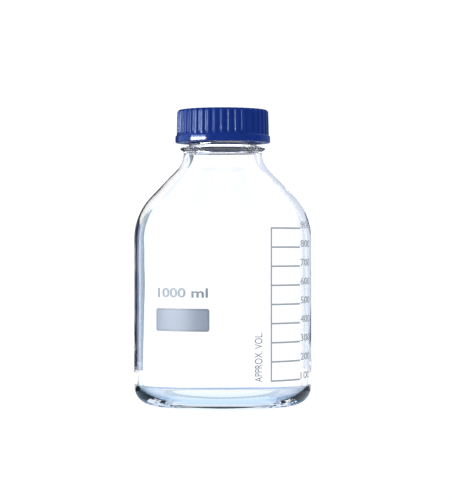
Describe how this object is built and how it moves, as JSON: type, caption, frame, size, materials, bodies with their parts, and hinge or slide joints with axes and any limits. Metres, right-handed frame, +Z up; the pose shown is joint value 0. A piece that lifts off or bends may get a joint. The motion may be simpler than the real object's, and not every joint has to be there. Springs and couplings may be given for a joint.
{
  "type": "screw-cap laboratory bottle",
  "caption": "Clear glass laboratory bottle with a cone shoulder, a blue ribbed screw cap over a pouring ring and liner, and enamel volume scale and label panel.",
  "frame": {"origin": "centre of the standing ring, on the surface the bottle stands on", "axes": "+Z up along the axis of the bottle, -Y towards the front, where the label panel and the scale are"},
  "size_m": [0.11, 0.11, 0.183],
  "materials": {
    "clear_glass": "clear borosilicate glass, polished by fire",
    "blue_plastic": "moulded polypropylene, semi-gloss",
    "silicone": "soft charcoal silicone rubber",
    "ptfe": "carbon-filled black PTFE film, satin",
    "enamel": "pale grey-white enamel fired onto the glass"
  },
  "bodies": {
    "bottle": {"bottle": "clear_glass", "pouring_ring": "blue_plastic", "scale_lines": "enamel", "label_panel": "enamel"},
    "liner": {"seal_disc": "silicone", "seal_facing": "ptfe"},
    "cap": {"screw_cap": "blue_plastic"}
  },
  "joints": [
    {"name": "closure_rise", "type": "slide", "parent": "bottle", "child": "liner", "axis": [0, 0, 1], "range_m": [0, 0.009]},
    {"name": "cap_turn", "type": "hinge", "parent": "liner", "child": "cap", "pos_m": [0, 0, 0.1727], "axis": [0, 0, 1], "range_deg": [0, 810]}
  ],
  "couplings": [
    {"joint": "closure_rise", "follows": "cap_turn", "m_per_rad": 0.00063662}
  ]
}
